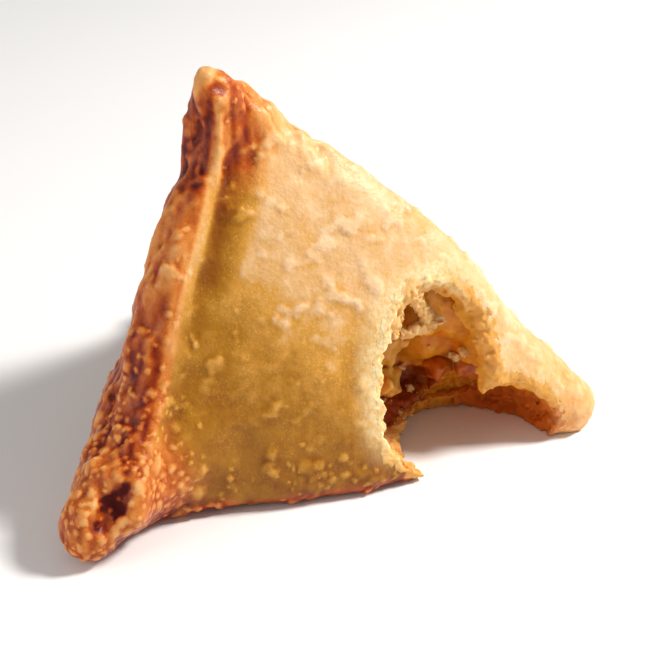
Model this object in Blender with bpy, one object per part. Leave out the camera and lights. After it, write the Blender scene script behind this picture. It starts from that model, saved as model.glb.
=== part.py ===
"""A samosa with one bite taken: a fried pastry crust folded round a solid potato filling.

The crust is a plump three-sided pyramid that stands on a flat base. Its three feet and its peak are
pinched, a rolled seam runs from the peak down to the left foot, and the bite opens the front by the
right foot. Both solids start as a tetrahedron, whose finely cut faces are pressed outwards onto the
rounded form that the distance functions describe; the cavity and the bite are then cut with Booleans.

Lengths are in millimetres, measured from the left foot, until MM and ORIGIN turn them into metres
from the middle of the base. X runs from the left foot to the right foot, Y from front to back.
"""

import bmesh
import bpy
import numpy as np

MM = 0.001
ORIGIN = np.array((46.7, 31.0, 0.0))

# The plump body: its corners, and the radius of the big ball that bulges each side.
LEFT = np.array((5.0, 6.0, 1.0))
RIGHT = np.array((94.0, -1.5, 1.0))
BACK = np.array((44.0, 60.0, 1.0))
PEAK = np.array((36.0, 23.0, 67.0))
FRONT_BALL = 116.0
SIDE_BALL = 180.0
EDGE_ROUND = 7.0
BASE_ROUND = 5.0

# Pinched corners, each a tapering chain of (x, y, z, radius).
LEFT_FOOT = ((18, 10.5, 11, 11.5), (6.5, 0.5, 8.5, 7.3), (1.3, -2.2, 5.7, 5.5))
RIGHT_FOOT = ((79, 8, 13, 8), (84, 4, 10, 7), (93, -0.3, 4.8, 4.5))
BACK_FOOT = ((44, 50, 10, 9), (43.5, 59, 7.5, 7), (43, 65, 5, 4.5))
PEAK_TIP = ((37, 24, 54, 5), (36, 20, 63.5, 4.6), (32.5, 17.2, 70.3, 3.2))
CORNER_BLEND = 6.0

# Folds of the pastry, each the crest line of a rolled edge with its radius.
SEAM = ((31, 14.5, 72), (32, 16.5, 62.4), (28.6, 14.5, 52.4), (22.5, 9.5, 40), (16.5, 5, 24),
        (9.5, -3.5, 13.5), (6.8, -6, 9))
SEAM_RADIUS = 1.9
SEAM_BLEND = 1.6
BACK_CREASE = ((34, 24, 68), (41, 37, 48), (44, 48, 28), (44, 60, 8))
BACK_CREASE_RADIUS = 1.6
RIGHT_CREASE = ((36, 22, 68), (57, 19, 46), (76, 11, 25), (90, 1, 8))
RIGHT_CREASE_RADIUS = 1.2
CREASE_BLEND = 3.0
PEAK_FOLD = ((31.0, 17, 72), (30.3, 19, 68), (29.8, 21, 62), (29.7, 20.5, 57))
PEAK_FOLD_RADIUS = 1.3

# Hollows between the folds, each a chain of (x, y, z, radius) pressed into the pastry.
PEAK_HOLLOW = ((28.6, 15.5, 68, 1.2), (28.2, 17.0, 62, 2.2), (27.8, 17, 57, 1.6))
FOOT_HOLLOW = ((6.0, -6.5, 14.0, 1.0), (3.6, -6.6, 11.2, 2.2), (0.8, -7.4, 8.4, 1.8))
HOLLOW_BLEND = 1.0

# The wall of dough round the filling, and the gap that keeps the two solids apart.
WALL = 2.8
GAP = 0.3

# How the forms are meshed: a cage whose corners lie in the pinched tips, its faces cut into a grid and
# pressed out from the heart, in strides of this length that are then halved this many times.
HEART = np.array((44.0, 21.0, 20.0))
CAGE = ((3, -4, 7), (93, -0.3, 4.8), (43, 65, 5), (32.5, 17.2, 70.3))
CRUST_CUTS = 35
CAVITY_CUTS = 17
FLOOR_ROUND = 1.0
REACH = 110.0
STRIDE = 1.0
HALVINGS = 24

# The bite: mouthfuls as (centre, half-axes); the filling breaks off a little deeper than the crust.
MOUTHFULS = (
    ("upper", (64, -3, 18), (11.3, 16.5, 18.2)),
    ("lower", (75.5, -5, 3), (12.5, 17.5, 12)),
    ("front", (64, -6, 11), (10.5, 19, 9)),
    ("floor", (71, 0, -1), (11, 14.5, 9)),
)
FILLING_SET_BACK = 1.0
BITE_SEGMENTS = 24
BITE_RINGS = 14

PASTRY_COLOUR = (0.68, 0.42, 0.15, 1.0)
PASTRY_ROUGHNESS = 0.55
FILLING_COLOUR = (0.72, 0.42, 0.07, 1.0)
FILLING_ROUGHNESS = 0.5


def smooth_max(a, b, reach):
    """The larger of two distances, rounded where they are closer than reach."""
    overlap = np.maximum(reach - np.abs(a - b), 0) / reach
    return np.maximum(a, b) + overlap**2 * reach / 4


def smooth_min(a, b, reach):
    """The smaller of two distances, blended where they are closer than reach."""
    return -smooth_max(-a, -b, reach)


def ball_through(corners, radius):
    """The centre of the ball of this radius through three corners, on the body's inner side."""
    first, second, third = corners
    to_second, to_third = second - first, third - first
    normal = np.cross(to_second, to_third)
    across = np.cross(normal, to_second) * (to_third @ to_third)
    across += np.cross(to_third, normal) * (to_second @ to_second)
    middle = first + across / (2 * (normal @ normal))
    normal /= np.linalg.norm(normal)
    if (HEART - first) @ normal < 0:
        normal = -normal
    return middle + normal * np.sqrt(radius**2 - np.sum((middle - first) ** 2))


def smooth_line(points, steps=3):
    """A curve that passes through every point, as Catmull-Rom stretches of this many steps."""
    points = np.asarray(points, float)
    padded = np.vstack([2 * points[0] - points[1], points, 2 * points[-1] - points[-2]])
    curve = []
    for a, b, c, d in zip(padded, padded[1:], padded[2:], padded[3:]):
        for t in np.arange(steps) / steps:
            curve.append(0.5 * (2 * b + (c - a) * t + (2 * a - 5 * b + 4 * c - d) * t**2
                                + (3 * b - a - 3 * c + d) * t**3))
    return np.vstack([curve, points[-1]])


def distance_to_chain(where, stations):
    """Distance to a tapering chain whose stations are (x, y, z, radius)."""
    nearest = np.full(len(where), np.inf)
    stations = np.asarray(stations, float)
    for start, end in zip(stations, stations[1:]):
        along = end[:3] - start[:3]
        share = np.clip((where - start[:3]) @ along / (along @ along), 0, 1)
        off = np.linalg.norm(where - start[:3] - share[:, None] * along, axis=1)
        nearest = np.minimum(nearest, off - start[3] - share * (end[3] - start[3]))
    return nearest


def distance_to_roll(where, crest, radius):
    """Distance to a rolled edge of one radius along a smooth crest line."""
    line = smooth_line(crest)
    return distance_to_chain(where, np.column_stack([line, np.full(len(line), radius)]))


def distance_to_body(where):
    """Distance to the plump body, without its folds: three bulging sides and a flat base."""
    sides = (((LEFT, RIGHT, PEAK), FRONT_BALL), ((LEFT, BACK, PEAK), SIDE_BALL),
             ((RIGHT, BACK, PEAK), SIDE_BALL))
    body = np.full(len(where), -REACH)
    for corners, radius in sides:
        side = np.linalg.norm(where - ball_through(corners, radius), axis=1) - radius
        body = smooth_max(body, side, EDGE_ROUND)
    return smooth_max(body, -where[:, 2], BASE_ROUND)


def distance_to_pastry(where):
    """Distance to the outside of the crust: the body with its pinched corners, folds and hollows."""
    pastry = distance_to_body(where)
    for chain in (LEFT_FOOT, RIGHT_FOOT, BACK_FOOT, PEAK_TIP):
        pastry = smooth_min(pastry, distance_to_chain(where, chain), CORNER_BLEND)
    for crest, radius, blend in (
        (BACK_CREASE, BACK_CREASE_RADIUS, CREASE_BLEND),
        (RIGHT_CREASE, RIGHT_CREASE_RADIUS, CREASE_BLEND),
        (PEAK_FOLD, PEAK_FOLD_RADIUS, CREASE_BLEND),
        (SEAM, SEAM_RADIUS, SEAM_BLEND),
    ):
        pastry = smooth_min(pastry, distance_to_roll(where, crest, radius), blend)
    for hollow in (PEAK_HOLLOW, FOOT_HOLLOW):
        pastry = smooth_max(pastry, -distance_to_chain(where, hollow), HOLLOW_BLEND)
    return np.maximum(pastry, -where[:, 2])


def distance_to_inside(where, depth):
    """Distance to the body shrunk by depth all round, with a flat floor at that height."""
    return smooth_max(distance_to_body(where) + depth, depth - where[:, 2], FLOOR_ROUND)


def pressed_out(start, distance):
    """Points moved along the ray from HEART through each start point, onto the last zero of distance."""
    ray = start - HEART
    ray /= np.linalg.norm(ray, axis=1)[:, None]
    inner = np.zeros(len(ray))
    for reach in np.arange(STRIDE, REACH, STRIDE):
        inside = distance(HEART + ray * reach) < 0
        inner[inside] = reach
    outer = inner + STRIDE
    for _ in range(HALVINGS):
        middle = (inner + outer) / 2
        inside = distance(HEART + ray * middle[:, None]) < 0
        inner = np.where(inside, middle, inner)
        outer = np.where(inside, outer, middle)
    return HEART + ray * inner[:, None]


def material(name, colour, roughness):
    """A Principled material of one colour."""
    made = bpy.data.materials.new(name)
    made.use_nodes = True
    shader = made.node_tree.nodes["Principled BSDF"]
    shader.inputs["Base Color"].default_value = colour
    shader.inputs["Roughness"].default_value = roughness
    made.diffuse_color = colour
    return made


def formed_tetrahedron(name, collection, distance, cuts):
    """A closed object: a tetrahedron whose finely cut faces are pressed onto a rounded form."""
    shape = bmesh.new()
    bmesh.ops.create_cone(shape, cap_ends=True, segments=3, radius1=1, radius2=0, depth=1)
    bmesh.ops.remove_doubles(shape, verts=shape.verts, dist=0.0001)
    anticlockwise_from_base = sorted(
        shape.verts, key=lambda v: (v.co.z > 0, np.arctan2(v.co.y, v.co.x))
    )
    for corner, place in zip(anticlockwise_from_base, CAGE):
        corner.co = place
    bmesh.ops.subdivide_edges(shape, edges=shape.edges, cuts=cuts, use_grid_fill=True)
    bmesh.ops.triangulate(shape, faces=shape.faces)
    bmesh.ops.recalc_face_normals(shape, faces=shape.faces)
    start = np.array([v.co for v in shape.verts], float)
    for vertex, place in zip(shape.verts, pressed_out(start, distance)):
        vertex.co = (place - ORIGIN) * MM
    mesh = bpy.data.meshes.new(name)
    shape.to_mesh(mesh)
    shape.free()
    solid = bpy.data.objects.new(name, mesh)
    collection.objects.link(solid)
    mesh.shade_smooth()
    return solid


def mouthful(name, centre, half_axes, grow, collection):
    """An egg-shaped cutter."""
    ball = bmesh.new()
    bmesh.ops.create_uvsphere(ball, u_segments=BITE_SEGMENTS, v_segments=BITE_RINGS, radius=1)
    for vertex in ball.verts:
        vertex.co = (np.array(vertex.co) * (np.array(half_axes) + grow) + centre - ORIGIN) * MM
    mesh = bpy.data.meshes.new(name)
    ball.to_mesh(mesh)
    ball.free()
    cutter = bpy.data.objects.new(name, mesh)
    collection.objects.link(cutter)
    cutter.hide_render = True
    cutter.display_type = "WIRE"
    return cutter


def cut(solid, cutter):
    """Takes the cutter's shape away from the solid."""
    boolean = solid.modifiers.new("without_" + cutter.name, "BOOLEAN")
    boolean.operation = "DIFFERENCE"
    boolean.object = cutter


def clear_scene():
    """Removes every object the scene starts with."""
    for old in list(bpy.data.objects):
        bpy.data.objects.remove(old)


def collection_named(name):
    """A new collection in the scene."""
    made = bpy.data.collections.new(name)
    bpy.context.scene.collection.children.link(made)
    return made


def main():
    """Makes the crust and the filling, and cuts the cavity and the bite out of them."""
    clear_scene()
    samosa = collection_named("samosa")
    cutters = collection_named("cutters")

    crust = formed_tetrahedron("crust", samosa, distance_to_pastry, CRUST_CUTS)
    crust.data.materials.append(material("pastry", PASTRY_COLOUR, PASTRY_ROUGHNESS))
    cavity = formed_tetrahedron(
        "cavity", cutters, lambda where: distance_to_inside(where, WALL), CAVITY_CUTS
    )
    cavity.hide_render = True
    cavity.display_type = "WIRE"
    cut(crust, cavity)

    filling = formed_tetrahedron(
        "filling", samosa, lambda where: distance_to_inside(where, WALL + GAP), CAVITY_CUTS
    )
    filling.data.materials.append(material("potato", FILLING_COLOUR, FILLING_ROUGHNESS))

    for name, centre, half_axes in MOUTHFULS:
        cut(crust, mouthful(f"bite_{name}", centre, half_axes, 0, cutters))
        deeper = mouthful(f"bite_{name}_deeper", centre, half_axes, FILLING_SET_BACK, cutters)
        cut(filling, deeper)


if __name__ == "__main__":
    main()
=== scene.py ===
"""The looks of a bitten samosa: fried, blistered dough round a potato filling with spices.

Lengths are in millimetres in the maker's own space, measured from the left foot, as in the solids; the
last step of every mesh turns them into metres from the middle of the base.
"""

import logging
from dataclasses import dataclass, field
from enum import Enum
from functools import cached_property
from typing import Callable, Sequence

import bpy
import numpy as np
import openvdb
from mathutils import Euler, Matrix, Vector


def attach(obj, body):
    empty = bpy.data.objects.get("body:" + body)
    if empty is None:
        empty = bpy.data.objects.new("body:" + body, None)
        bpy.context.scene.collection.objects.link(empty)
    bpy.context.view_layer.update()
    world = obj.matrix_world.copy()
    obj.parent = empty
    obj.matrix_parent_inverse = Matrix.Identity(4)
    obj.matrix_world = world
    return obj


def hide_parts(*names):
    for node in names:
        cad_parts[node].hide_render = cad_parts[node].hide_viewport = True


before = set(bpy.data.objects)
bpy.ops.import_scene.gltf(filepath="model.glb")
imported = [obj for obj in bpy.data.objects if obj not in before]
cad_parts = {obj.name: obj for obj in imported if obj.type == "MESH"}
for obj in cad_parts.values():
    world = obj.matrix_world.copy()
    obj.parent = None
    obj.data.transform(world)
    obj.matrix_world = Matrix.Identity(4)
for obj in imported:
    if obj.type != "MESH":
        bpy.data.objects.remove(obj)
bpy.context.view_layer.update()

LOG = logging.getLogger("samosa")
MM = 0.001
ORIGIN = np.array((46.7, 31.0, 0.0), np.float32)
ROOT = "root"
SEED = 7

Array = np.ndarray
Distance = Callable[[Array], Array]


# ---- Distances and noise ----

def smooth_max(a: Array, b: Array, reach: float) -> Array:
    """The larger of two distances, rounded where they are closer than reach."""
    overlap = np.maximum(reach - np.abs(a - b), 0) / reach
    return np.maximum(a, b) + overlap * overlap * (reach / 4)


def smooth_min(a: Array, b: Array, reach: float) -> Array:
    """The smaller of two distances, blended where they are closer than reach."""
    return -smooth_max(-a, -b, reach)


def rise(low: float, high: float, value: Array) -> Array:
    """A smooth step from 0 at low to 1 at high; low may be the larger."""
    t = np.clip((value - low) / (high - low), 0, 1)
    return t * t * (3 - 2 * t)


def smooth_line(points: Sequence, steps: int = 3) -> Array:
    """A curve that passes through every point, as Catmull-Rom stretches of this many steps."""
    points = np.asarray(points, np.float32)
    padded = np.vstack([2 * points[0] - points[1], points, 2 * points[-1] - points[-2]])
    curve = []
    for a, b, c, d in zip(padded, padded[1:], padded[2:], padded[3:]):
        for t in np.arange(steps) / steps:
            curve.append(0.5 * (2 * b + (c - a) * t + (2 * a - 5 * b + 4 * c - d) * t**2
                                + (3 * b - a - 3 * c + d) * t**3))
    return np.vstack([curve, points[-1]]).astype(np.float32)


def chain_distance(where: Array, stations: Sequence) -> Array:
    """Distance to a tapering chain whose stations are (x, y, z, radius)."""
    nearest = np.full(len(where), np.inf, np.float32)
    stations = np.asarray(stations, np.float32)
    for start, end in zip(stations, stations[1:]):
        along = end[:3] - start[:3]
        off = where - start[:3]
        share = np.clip(off @ along / (along @ along), 0, 1)
        off = off - share[:, None] * along
        away = np.sqrt(np.einsum("ij,ij->i", off, off))
        nearest = np.minimum(nearest, away - start[3] - share * (end[3] - start[3]))
    return nearest


def roll_distance(where: Array, crest: Sequence, radius: float) -> Array:
    """Distance to a rolled edge of one radius along a smooth crest line."""
    line = smooth_line(crest)
    return chain_distance(where, np.column_stack([line, np.full(len(line), radius)]))


def point_distance(where: Array, place: Sequence) -> Array:
    """Distance to one point."""
    return np.linalg.norm(where - np.asarray(place, np.float32), axis=1)


def egg_distance(where: Array, centre: Sequence, half_axes: Sequence) -> Array:
    """Roughly the distance to an egg-shaped form."""
    off = (where - np.asarray(centre, np.float32)) / np.asarray(half_axes, np.float32)
    length = np.sqrt(np.einsum("ij,ij->i", off, off)) + 1e-6
    slope = off / np.asarray(half_axes, np.float32)
    return (length - 1) * length / (np.sqrt(np.einsum("ij,ij->i", slope, slope)) + 1e-6)


class Noise:
    """Smooth random values in space, from -1 to 1, the same on every run."""

    def __init__(self, seed: int) -> None:
        """Shuffles the table that the lattice's slopes are read from."""
        draw = np.random.default_rng(seed)
        self.order = np.tile(draw.permutation(256), 3)
        slopes = draw.normal(size=(256, 3))
        self.slopes = (slopes / np.linalg.norm(slopes, axis=1)[:, None]).astype(np.float32)

    def at(self, where: Array, size: float, octaves: int = 1) -> Array:
        """Noise whose lumps are about this size.

        Args:
            where: Points, in millimetres.
            size: Distance from lump to lump.
            octaves: How many finer layers, each half the size and half the height.

        Returns:
            One value for each point.
        """
        total = np.zeros(len(where), np.float32)
        for octave in range(octaves):
            total += self._layer(where * (2.0**octave / size)) * 0.5**octave
        return total * 1.6

    def _layer(self, where: Array) -> Array:
        """One layer on a lattice of unit cells."""
        cell = np.floor(where).astype(np.int64)
        within = (where - cell).astype(np.float32)
        ease = within * within * within * (within * (within * 6 - 15) + 10)
        total = np.zeros(len(where), np.float32)
        for corner in np.ndindex(2, 2, 2):
            x, y, z = (cell[:, axis] + corner[axis] for axis in range(3))
            slope = self.slopes[self.order[self.order[self.order[x & 255] + (y & 255)] + (z & 255)]]
            value = np.einsum("ij,ij->i", slope, within - np.asarray(corner, np.float32))
            for axis in range(3):
                value = value * (ease[:, axis] if corner[axis] else 1 - ease[:, axis])
            total += value
        return total


# ---- The samosa's form ----

@dataclass(frozen=True)
class PastryForm:
    """The sizes and distances of the whole samosa before the bite, in millimetres."""

    left: tuple = (5.0, 6.0, 1.0)
    right: tuple = (94.0, -1.5, 1.0)
    back: tuple = (44.0, 60.0, 1.0)
    peak: tuple = (36.0, 23.0, 67.0)
    heart: tuple = (44.0, 21.0, 20.0)
    front_ball: float = 116.0
    side_ball: float = 180.0
    edge_round: float = 7.0
    base_round: float = 5.0
    left_foot: tuple = ((18, 10.5, 11, 11.5), (6.5, 0.5, 8.5, 7.3), (1.3, -2.2, 5.7, 5.5))
    right_foot: tuple = ((79, 8, 13, 8), (84, 4, 10, 7), (93, -0.3, 4.8, 4.5))
    back_foot: tuple = ((44, 50, 10, 9), (43.5, 59, 7.5, 7), (43, 65, 5, 4.5))
    peak_tip: tuple = ((37, 24, 54, 5), (36, 20, 63.5, 4.6), (32.8, 17.4, 69.3, 3.0))
    corner_blend: float = 6.0
    seam: tuple = ((31.4, 15.9, 69.5), (32, 16.5, 62.4), (28.6, 14.5, 52.4), (22.5, 9.5, 40), (16.5, 5, 24),
                   (9.5, -3.5, 13.5), (6.8, -6, 9))
    seam_radius: float = 1.9
    seam_blend: float = 2.8
    back_crease: tuple = ((34, 24, 68), (41, 37, 48), (44, 48, 28), (44, 60, 8))
    back_crease_radius: float = 1.6
    right_crease: tuple = ((36, 22, 68), (57, 19, 46), (76, 11, 25), (90, 1, 8))
    right_crease_radius: float = 1.2
    crease_blend: float = 3.0
    peak_fold: tuple = ((31.0, 17, 72), (30.3, 19, 68), (29.8, 21, 62), (29.7, 20.5, 57))
    peak_fold_radius: float = 1.3
    peak_hollow: tuple = ((27.4, 13.8, 67.5, 2.6), (26.4, 15.2, 61.5, 3.8), (25.2, 14.8, 56.0, 2.4),
                          (23.4, 13.2, 50.5, 0.8))
    foot_hollow: tuple = ((6.0, -6.5, 14.0, 1.0), (3.8, -6.6, 11.2, 1.9), (1.8, -7.2, 8.6, 1.2))
    hollow_blend: float = 1.8
    wall: float = 2.8

    @property
    def tips(self) -> tuple:
        """The outer stretches of the left, right and back feet."""
        return self.left_foot[1:], self.right_foot[1:], self.back_foot[1:]

    def ball_through(self, corners: Sequence, radius: float) -> Array:
        """The centre of the ball of this radius through three corners, on the heart's side."""
        first, second, third = (np.asarray(corner, float) for corner in corners)
        to_second, to_third = second - first, third - first
        normal = np.cross(to_second, to_third)
        across = np.cross(normal, to_second) * (to_third @ to_third)
        across += np.cross(to_third, normal) * (to_second @ to_second)
        middle = first + across / (2 * (normal @ normal))
        normal /= np.linalg.norm(normal)
        if (np.asarray(self.heart) - first) @ normal < 0:
            normal = -normal
        return (middle + normal * np.sqrt(radius**2 - np.sum((middle - first) ** 2))).astype(np.float32)

    def body(self, where: Array) -> Array:
        """Distance to the plump body, without its folds: three bulging sides and a flat base."""
        sides = (((self.left, self.right, self.peak), self.front_ball),
                 ((self.left, self.back, self.peak), self.side_ball),
                 ((self.right, self.back, self.peak), self.side_ball))
        body = np.full(len(where), -200, np.float32)
        for corners, radius in sides:
            off = where - self.ball_through(corners, radius)
            body = smooth_max(body, np.sqrt(np.einsum("ij,ij->i", off, off)) - radius, self.edge_round)
        return smooth_max(body, -where[:, 2], self.base_round)

    def outside(self, where: Array) -> Array:
        """Distance to the outside of the dough, with its pinched corners, folds and hollows."""
        pastry = self.body(where)
        for chain in (self.left_foot, self.right_foot, self.back_foot, self.peak_tip):
            pastry = smooth_min(pastry, chain_distance(where, chain), self.corner_blend)
        for crest, radius, blend in (
            (self.back_crease, self.back_crease_radius, self.crease_blend),
            (self.right_crease, self.right_crease_radius, self.crease_blend),
            (self.peak_fold, self.peak_fold_radius, self.crease_blend),
            (self.seam, self.seam_radius, self.seam_blend),
        ):
            pastry = smooth_min(pastry, roll_distance(where, crest, radius), blend)
        for hollow in (self.peak_hollow, self.foot_hollow):
            pastry = smooth_max(pastry, -chain_distance(where, hollow), self.hollow_blend)
        return np.maximum(pastry, -where[:, 2])

    def inside(self, where: Array, depth: float) -> Array:
        """Distance to the body shrunk by depth all round, with a flat floor at that height."""
        return smooth_max(self.body(where) + depth, depth - where[:, 2], 1.0)


@dataclass(frozen=True)
class Bite:
    """The mouthfuls that were taken, and how rough their edge is."""

    mouthfuls: tuple = (
        ((64, -3, 18), (11.3, 16.5, 18.2)),
        ((75.5, -5, 3), (12.5, 17.5, 12)),
        ((64, -6, 11), (10.5, 19, 9)),
        ((71, 0, -1), (11, 14.5, 9)),
    )
    middle: tuple = (68, -2, 14)
    reach: tuple = (27, 27, 33)
    ragged: float = 1.0
    ragged_size: float = 2.4
    blend: float = 2.2
    crumbly: float = 0.34
    crumbly_size: float = 0.8
    noise: Noise = field(default_factory=lambda: Noise(SEED))

    def clean(self, where: Array) -> Array:
        """Distance to the space of the mouthfuls, with smooth sides."""
        space = np.full(len(where), 99, np.float32)
        for centre, half_axes in self.mouthfuls:
            space = smooth_min(space, egg_distance(where, centre, half_axes), self.blend)
        return space

    def torn(self, where: Array) -> Array:
        """Distance to the same space with a ragged outline."""
        return self.clean(where) + self.ragged * self.noise.at(where, self.ragged_size, 2)

    def crumbs(self, where: Array) -> Array:
        """How far the crumbly dough stands proud at each point."""
        return self.crumbly * self.noise.at(where + 31, self.crumbly_size, 2)

    def around(self, where: Array) -> Array:
        """Distance to the stretch of the samosa that the bite lets the eye into."""
        return egg_distance(where, self.middle, self.reach)


# ---- From a distance to a mesh ----

@dataclass
class Skin:
    """Points and four-sided faces of a closed surface, in the maker's millimetres."""

    points: Array
    faces: Array

    def without_specks(self, least: int = 60) -> "Skin":
        """The surface without its loose parts that have fewer faces than this."""
        label = np.arange(len(self.points))
        while True:
            lowest = np.repeat(label[self.faces].min(1), 4)
            merged = label.copy()
            np.minimum.at(merged, label[self.faces].ravel(), lowest)
            np.minimum.at(merged, self.faces.ravel(), lowest)
            merged = merged[merged]
            if np.array_equal(merged, label):
                break
            label = merged
        part = label[self.faces[:, 0]]
        kept = np.bincount(part, minlength=len(label))[part] >= least
        used, faces = np.unique(self.faces[kept], return_inverse=True)
        return Skin(self.points[used], faces.reshape(-1, 4))

    def mesh(self, name: str) -> bpy.types.Mesh:
        """The surface as a smooth mesh in metres, in the row's own frame."""
        mesh = bpy.data.meshes.new(name)
        places = (self.points - ORIGIN) * MM
        mesh.vertices.add(len(places))
        mesh.vertices.foreach_set("co", places.astype(np.float32).ravel())
        mesh.loops.add(self.faces.size)
        mesh.loops.foreach_set("vertex_index", self.faces.astype(np.int32).ravel())
        mesh.polygons.add(len(self.faces))
        mesh.polygons.foreach_set("loop_start", np.arange(0, self.faces.size, 4, dtype=np.int32))
        mesh.update(calc_edges=True)
        mesh.validate()
        mesh.shade_smooth()
        return mesh


@dataclass(frozen=True)
class Sampler:
    """Turns a distance into a surface, sampled in a thin band of small cells."""

    low: tuple
    high: tuple
    cell: float
    block: int = 4
    band: float = 2.5
    half_diagonal: float = 0.87

    def skin(self, distance: Distance) -> Skin:
        """The surface where the distance is nought.

        Args:
            distance: Gives the distance at each of many points, below nought inside.

        Returns:
            The closed surface.
        """
        low = np.asarray(self.low, np.float32)
        blocks = np.ceil((np.asarray(self.high) - low) / (self.cell * self.block)).astype(int)
        index = np.stack(np.meshgrid(*(np.arange(n) for n in blocks), indexing="ij"), -1).reshape(-1, 3)
        centre = low + (index * self.block + (self.block - 1) / 2) * self.cell
        coarse = distance(centre.astype(np.float32))
        reach = self.cell * (self.block * self.half_diagonal + self.band + 1)
        cells = np.broadcast_to(
            (np.sign(coarse) * self.band * self.cell).reshape(*blocks, 1, 1, 1),
            (*blocks, self.block, self.block, self.block)).copy()
        near = np.abs(coarse) < reach
        step = np.stack(np.meshgrid(*[np.arange(self.block)] * 3, indexing="ij"), -1).reshape(-1, 3)
        fine = (index[near][:, None, :] * self.block + step).reshape(-1, 3)
        value = distance((low + fine * self.cell).astype(np.float32))
        limit = self.band * self.cell
        cells.reshape(-1, self.block**3)[near] = np.clip(value, -limit, limit).reshape(-1, self.block**3)
        volume = cells.transpose(0, 3, 1, 4, 2, 5).reshape(*(blocks * self.block))
        grid = openvdb.FloatGrid(float(limit))
        grid.copyFromArray(np.ascontiguousarray(volume, np.float32), tolerance=0)
        points, faces = grid.convertToQuads(isovalue=0.0)
        return Skin(points * self.cell + low, faces).without_specks()


def store(mesh: bpy.types.Mesh, name: str, values: Array) -> None:
    """Keeps one value for each point of the mesh, for the materials to read."""
    mesh.attributes.new(name, "FLOAT", "POINT").data.foreach_set("value", values.astype(np.float32))


def points_of(mesh: bpy.types.Mesh) -> Array:
    """The mesh's points, in the maker's millimetres."""
    places = np.empty(len(mesh.vertices) * 3, np.float32)
    mesh.vertices.foreach_get("co", places)
    return places.reshape(-1, 3) / MM + ORIGIN


def flattened(obj: bpy.types.Object) -> bpy.types.Object:
    """Turns the object's live modifiers into a plain mesh and removes them."""
    graph = bpy.context.evaluated_depsgraph_get()
    made = bpy.data.meshes.new_from_object(obj.evaluated_get(graph), depsgraph=graph)
    obj.modifiers.clear()
    obj.data = made
    return obj


def new_object(name: str, data: bpy.types.ID) -> bpy.types.Object:
    """An object at the origin that shows a mesh, a light or a camera."""
    made = bpy.data.objects.new(name, data)
    bpy.context.scene.collection.objects.link(made)
    return made


# ---- Node trees ----

class Wire:
    """One output socket, on which sums can be written as expressions."""

    def __init__(self, graph: "Graph", socket: bpy.types.NodeSocket) -> None:
        """Keeps the socket and the graph that it belongs to."""
        self.graph = graph
        self.socket = socket

    def _maths(self, operation: str, first: object, second: object = None) -> "Wire":
        """Adds one Math node."""
        values = {0: first} if second is None else {0: first, 1: second}
        return self.graph.wire("ShaderNodeMath", {"operation": operation}, values)

    def __add__(self, other: object) -> "Wire":
        """self + other."""
        return self._maths("ADD", self, other)

    __radd__ = __add__

    def __sub__(self, other: object) -> "Wire":
        """self - other."""
        return self._maths("SUBTRACT", self, other)

    def __rsub__(self, other: object) -> "Wire":
        """other - self."""
        return self._maths("SUBTRACT", other, self)

    def __mul__(self, other: object) -> "Wire":
        """self * other."""
        return self._maths("MULTIPLY", self, other)

    __rmul__ = __mul__

    def __truediv__(self, other: object) -> "Wire":
        """self / other."""
        return self._maths("DIVIDE", self, other)

    def __pow__(self, other: object) -> "Wire":
        """self to the power of other."""
        return self._maths("POWER", self, other)

    def most(self, other: object) -> "Wire":
        """The larger of the two."""
        return self._maths("MAXIMUM", self, other)

    def rise(self, low: float, high: float) -> "Wire":
        """A smooth step from 0 at low to 1 at high."""
        return self.graph.wire("ShaderNodeMapRange", {"interpolation_type": "SMOOTHSTEP"},
                               {"Value": self, "From Min": low, "From Max": high})


class Graph:
    """Adds nodes to a tree, of a material or of a Geometry Nodes group."""

    def __init__(self, tree: bpy.types.NodeTree) -> None:
        """Keeps the tree."""
        self.tree = tree

    def node(self, kind: str, settings: dict | None = None, inputs: dict | None = None) -> bpy.types.Node:
        """Adds a node of any type.

        Args:
            kind: The node's type name.
            settings: Its own settings, which are set first.
            inputs: Socket name or number, and the value or Wire that it takes.

        Returns:
            The node.
        """
        made = self.tree.nodes.new(kind)
        for name, value in (settings or {}).items():
            setattr(made, name, value)
        for name, value in (inputs or {}).items():
            socket = made.inputs[name]
            if isinstance(value, Wire):
                self.tree.links.new(value.socket, socket)
            else:
                socket.default_value = value
        return made

    def wire(self, kind: str, settings: dict | None = None, inputs: dict | None = None,
             output: str | int = 0) -> Wire:
        """Adds a node and returns one of its outputs."""
        return Wire(self, self.node(kind, settings, inputs).outputs[output])

    def vector(self, operation: str, first: object, second: object) -> Wire:
        """Adds one Vector Math node: SCALE takes a number second, and DISTANCE gives a number."""
        socket = "Scale" if operation == "SCALE" else 1
        output = "Value" if operation == "DISTANCE" else 0
        return self.wire("ShaderNodeVectorMath", {"operation": operation},
                         {0: first, socket: second}, output)

    def mix(self, share: object, first: object, second: object) -> Wire:
        """Two colours mixed: the first at share 0, the second at share 1."""
        made = self.node("ShaderNodeMix", {"data_type": "RGBA"})
        for number, value in ((0, share), (6, first), (7, second)):
            if isinstance(value, Wire):
                self.tree.links.new(value.socket, made.inputs[number])
            else:
                made.inputs[number].default_value = value
        return Wire(self, made.outputs[2])

    def ramp(self, share: Wire, stops: Sequence) -> Wire:
        """A colour ramp with stops of (place, colour)."""
        made = self.node("ShaderNodeValToRGB", None, {"Fac": share})
        elements = made.color_ramp.elements
        while len(elements) < len(stops):
            elements.new(1.0)
        for element, (place, colour) in zip(elements, stops):
            element.position = place
            element.color = colour
        return Wire(self, made.outputs["Color"])


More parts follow.
